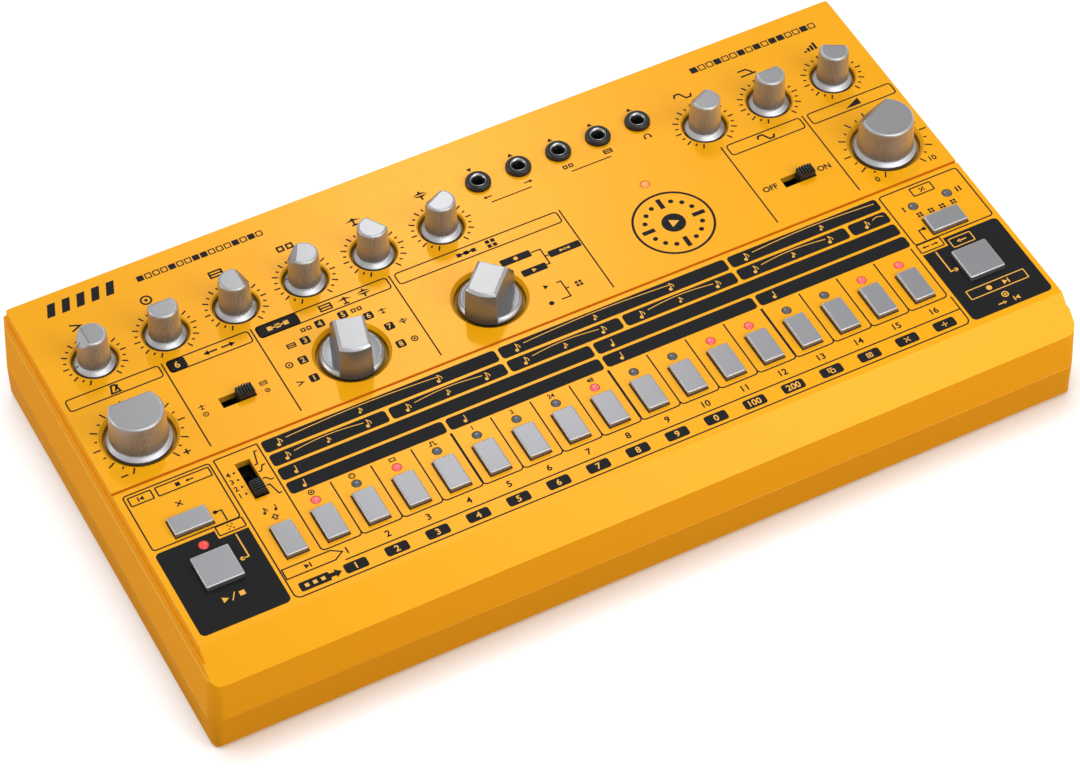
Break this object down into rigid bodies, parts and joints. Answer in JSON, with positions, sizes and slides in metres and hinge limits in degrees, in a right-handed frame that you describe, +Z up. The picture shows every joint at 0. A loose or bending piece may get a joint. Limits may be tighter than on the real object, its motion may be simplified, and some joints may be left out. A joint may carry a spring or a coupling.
{
  "type": "drum machine",
  "caption": "Desktop drum machine with a flat control panel, bevelled front, knurled knobs, bar selectors, step buttons, lamps, slide switches and patch jacks.",
  "frame": {"origin": "centre of the bounding box's bottom, on the floor", "axes": "+X to the right along the long side, +Y to the rear sockets, +Z up out of the control panel"},
  "size_m": [0.3074, 0.1646, 0.0538],
  "materials": {
    "case_plastic": "satin moulded orange-yellow plastic",
    "circuit_board": "green solder mask",
    "cable_grey": "flat grey cable",
    "steel": "zinc plated",
    "foot_rubber": "matte black rubber",
    "pot_metal": "stamped steel can",
    "switch_plastic": "dark moulded plastic",
    "lamp_red": "translucent red lamp",
    "jack_metal": "nickel plated brass",
    "black_plastic": "fine matte black",
    "silver_knob": "silver metallic lacquer on plastic",
    "grey_key": "smooth satin grey"
  },
  "bodies": {
    "case": {"upper_case": "case_plastic", "lower_case": "case_plastic", "panel_board": "circuit_board", "main_board": "circuit_board", "rear_board": "circuit_board", "ribbon_cable": "cable_grey", "case_screws": "steel", "board_screws": "steel", "rubber_feet": "foot_rubber", "pot_bodies": "pot_metal", "selector_switch_bodies": "switch_plastic", "slide_switch_bodies": "switch_plastic", "tact_switches": "switch_plastic", "step_leds": "lamp_red", "status_leds": "lamp_red", "top_jacks": "jack_metal", "panel_nuts": "black_plastic", "midi_sockets": "black_plastic", "usb_socket": "jack_metal", "power_socket": "black_plastic", "rear_jacks": "jack_metal", "power_switch_body": "switch_plastic"},
    "accent_knob": {"accent_knob": "silver_knob"},
    "bass_knob": {"bass_knob": "silver_knob"},
    "snare_knob": {"snare_knob": "silver_knob"},
    "tom_knob": {"tom_knob": "silver_knob"},
    "cymbal_knob": {"cymbal_knob": "silver_knob"},
    "hihat_knob": {"hihat_knob": "silver_knob"},
    "distortion_knob": {"distortion_knob": "silver_knob"},
    "tone_knob": {"tone_knob": "silver_knob"},
    "level_knob": {"level_knob": "silver_knob"},
    "tempo_knob": {"tempo_knob": "silver_knob"},
    "volume_knob": {"volume_knob": "silver_knob"},
    "instrument_knob": {"instrument_knob": "silver_knob"},
    "mode_knob": {"mode_knob": "silver_knob"},
    "step_button_01": {"step_button_01": "grey_key"},
    "step_button_02": {"step_button_02": "grey_key"},
    "step_button_03": {"step_button_03": "grey_key"},
    "step_button_04": {"step_button_04": "grey_key"},
    "step_button_05": {"step_button_05": "grey_key"},
    "step_button_06": {"step_button_06": "grey_key"},
    "step_button_07": {"step_button_07": "grey_key"},
    "step_button_08": {"step_button_08": "grey_key"},
    "step_button_09": {"step_button_09": "grey_key"},
    "step_button_10": {"step_button_10": "grey_key"},
    "step_button_11": {"step_button_11": "grey_key"},
    "step_button_12": {"step_button_12": "grey_key"},
    "step_button_13": {"step_button_13": "grey_key"},
    "step_button_14": {"step_button_14": "grey_key"},
    "step_button_15": {"step_button_15": "grey_key"},
    "step_button_16": {"step_button_16": "grey_key"},
    "function_button": {"function_button": "grey_key"},
    "clear_button": {"clear_button": "grey_key"},
    "start_button": {"start_button": "grey_key"},
    "pattern_button": {"pattern_button": "grey_key"},
    "tap_button": {"tap_button": "grey_key"},
    "select_slider": {"select_slider": "black_plastic"},
    "distortion_slider": {"distortion_slider": "black_plastic"},
    "scale_slider": {"scale_slider": "black_plastic"},
    "power_slider": {"power_slider": "black_plastic"}
  },
  "joints": [
    {"name": "accent_turn", "type": "hinge", "parent": "case", "child": "accent_knob", "pos_m": [-0.13405, 0.0455, 0.04125], "axis": [0, 0, 1], "range_deg": [-240, 60]},
    {"name": "bass_turn", "type": "hinge", "parent": "case", "child": "bass_knob", "pos_m": [-0.10959, 0.0455, 0.04125], "axis": [0, 0, 1], "range_deg": [-150, 150]},
    {"name": "snare_turn", "type": "hinge", "parent": "case", "child": "snare_knob", "pos_m": [-0.08513, 0.0455, 0.04125], "axis": [0, 0, 1], "range_deg": [-60, 240]},
    {"name": "tom_turn", "type": "hinge", "parent": "case", "child": "tom_knob", "pos_m": [-0.06067, 0.0455, 0.04125], "axis": [0, 0, 1], "range_deg": [-212, 88]},
    {"name": "cymbal_turn", "type": "hinge", "parent": "case", "child": "cymbal_knob", "pos_m": [-0.03621, 0.0455, 0.04125], "axis": [0, 0, 1], "range_deg": [-92, 208]},
    {"name": "hihat_turn", "type": "hinge", "parent": "case", "child": "hihat_knob", "pos_m": [-0.01175, 0.0455, 0.04125], "axis": [0, 0, 1], "range_deg": [-178, 122]},
    {"name": "distortion_turn", "type": "hinge", "parent": "case", "child": "distortion_knob", "pos_m": [0.0859, 0.0455, 0.04125], "axis": [0, 0, 1], "range_deg": [-180, 120]},
    {"name": "tone_turn", "type": "hinge", "parent": "case", "child": "tone_knob", "pos_m": [0.11036, 0.0455, 0.04125], "axis": [0, 0, 1], "range_deg": [-150, 150]},
    {"name": "level_turn", "type": "hinge", "parent": "case", "child": "level_knob", "pos_m": [0.13482, 0.0455, 0.04125], "axis": [0, 0, 1], "range_deg": [-120, 180]},
    {"name": "tempo_turn", "type": "hinge", "parent": "case", "child": "tempo_knob", "pos_m": [-0.1341, 0.0105, 0.04125], "axis": [0, 0, 1], "range_deg": [-150, 150]},
    {"name": "volume_turn", "type": "hinge", "parent": "case", "child": "volume_knob", "pos_m": [0.13465, 0.0105, 0.04125], "axis": [0, 0, 1], "range_deg": [-176, 124]},
    {"name": "instrument_turn", "type": "hinge", "parent": "case", "child": "instrument_knob", "pos_m": [-0.0608, 0.0105, 0.04125], "axis": [0, 0, 1], "range_deg": [-90, 120]},
    {"name": "mode_turn", "type": "hinge", "parent": "case", "child": "mode_knob", "pos_m": [-0.0119, 0.0105, 0.04125], "axis": [0, 0, 1], "range_deg": [-90, 0]},
    {"name": "step_01_press", "type": "slide", "parent": "case", "child": "step_button_01", "axis": [0, 0, -1], "range_m": [0, 0.0008], "stiffness_N_per_m": 300, "springref_m": -0.0004},
    {"name": "step_02_press", "type": "slide", "parent": "case", "child": "step_button_02", "axis": [0, 0, -1], "range_m": [0, 0.0008], "stiffness_N_per_m": 300, "springref_m": -0.0004},
    {"name": "step_03_press", "type": "slide", "parent": "case", "child": "step_button_03", "axis": [0, 0, -1], "range_m": [0, 0.0008], "stiffness_N_per_m": 300, "springref_m": -0.0004},
    {"name": "step_04_press", "type": "slide", "parent": "case", "child": "step_button_04", "axis": [0, 0, -1], "range_m": [0, 0.0008], "stiffness_N_per_m": 300, "springref_m": -0.0004},
    {"name": "step_05_press", "type": "slide", "parent": "case", "child": "step_button_05", "axis": [0, 0, -1], "range_m": [0, 0.0008], "stiffness_N_per_m": 300, "springref_m": -0.0004},
    {"name": "step_06_press", "type": "slide", "parent": "case", "child": "step_button_06", "axis": [0, 0, -1], "range_m": [0, 0.0008], "stiffness_N_per_m": 300, "springref_m": -0.0004},
    {"name": "step_07_press", "type": "slide", "parent": "case", "child": "step_button_07", "axis": [0, 0, -1], "range_m": [0, 0.0008], "stiffness_N_per_m": 300, "springref_m": -0.0004},
    {"name": "step_08_press", "type": "slide", "parent": "case", "child": "step_button_08", "axis": [0, 0, -1], "range_m": [0, 0.0008], "stiffness_N_per_m": 300, "springref_m": -0.0004},
    {"name": "step_09_press", "type": "slide", "parent": "case", "child": "step_button_09", "axis": [0, 0, -1], "range_m": [0, 0.0008], "stiffness_N_per_m": 300, "springref_m": -0.0004},
    {"name": "step_10_press", "type": "slide", "parent": "case", "child": "step_button_10", "axis": [0, 0, -1], "range_m": [0, 0.0008], "stiffness_N_per_m": 300, "springref_m": -0.0004},
    {"name": "step_11_press", "type": "slide", "parent": "case", "child": "step_button_11", "axis": [0, 0, -1], "range_m": [0, 0.0008], "stiffness_N_per_m": 300, "springref_m": -0.0004},
    {"name": "step_12_press", "type": "slide", "parent": "case", "child": "step_button_12", "axis": [0, 0, -1], "range_m": [0, 0.0008], "stiffness_N_per_m": 300, "springref_m": -0.0004},
    {"name": "step_13_press", "type": "slide", "parent": "case", "child": "step_button_13", "axis": [0, 0, -1], "range_m": [0, 0.0008], "stiffness_N_per_m": 300, "springref_m": -0.0004},
    {"name": "step_14_press", "type": "slide", "parent": "case", "child": "step_button_14", "axis": [0, 0, -1], "range_m": [0, 0.0008], "stiffness_N_per_m": 300, "springref_m": -0.0004},
    {"name": "step_15_press", "type": "slide", "parent": "case", "child": "step_button_15", "axis": [0, 0, -1], "range_m": [0, 0.0008], "stiffness_N_per_m": 300, "springref_m": -0.0004},
    {"name": "step_16_press", "type": "slide", "parent": "case", "child": "step_button_16", "axis": [0, 0, -1], "range_m": [0, 0.0008], "stiffness_N_per_m": 300, "springref_m": -0.0004},
    {"name": "function_press", "type": "slide", "parent": "case", "child": "function_button", "axis": [0, 0, -1], "range_m": [0, 0.0008], "stiffness_N_per_m": 300, "springref_m": -0.0004},
    {"name": "clear_press", "type": "slide", "parent": "case", "child": "clear_button", "axis": [0, 0, -1], "range_m": [0, 0.0008], "stiffness_N_per_m": 300, "springref_m": -0.0004},
    {"name": "start_press", "type": "slide", "parent": "case", "child": "start_button", "axis": [0, 0, -1], "range_m": [0, 0.0008], "stiffness_N_per_m": 300, "springref_m": -0.0004},
    {"name": "pattern_press", "type": "slide", "parent": "case", "child": "pattern_button", "axis": [0, 0, -1], "range_m": [0, 0.0008], "stiffness_N_per_m": 300, "springref_m": -0.0004},
    {"name": "tap_press", "type": "slide", "parent": "case", "child": "tap_button", "axis": [0, 0, -1], "range_m": [0, 0.0008], "stiffness_N_per_m": 300, "springref_m": -0.0004},
    {"name": "select_slide", "type": "slide", "parent": "case", "child": "select_slider", "axis": [-1, 0, 0], "range_m": [0, 0.0052]},
    {"name": "distortion_slide", "type": "slide", "parent": "case", "child": "distortion_slider", "axis": [-1, 0, 0], "range_m": [0, 0.0052]},
    {"name": "scale_slide", "type": "slide", "parent": "case", "child": "scale_slider", "axis": [0, 1, 0], "range_m": [0, 0.0089]},
    {"name": "power_slide", "type": "slide", "parent": "case", "child": "power_slider", "axis": [1, 0, 0], "range_m": [0, 0.004]}
  ]
}
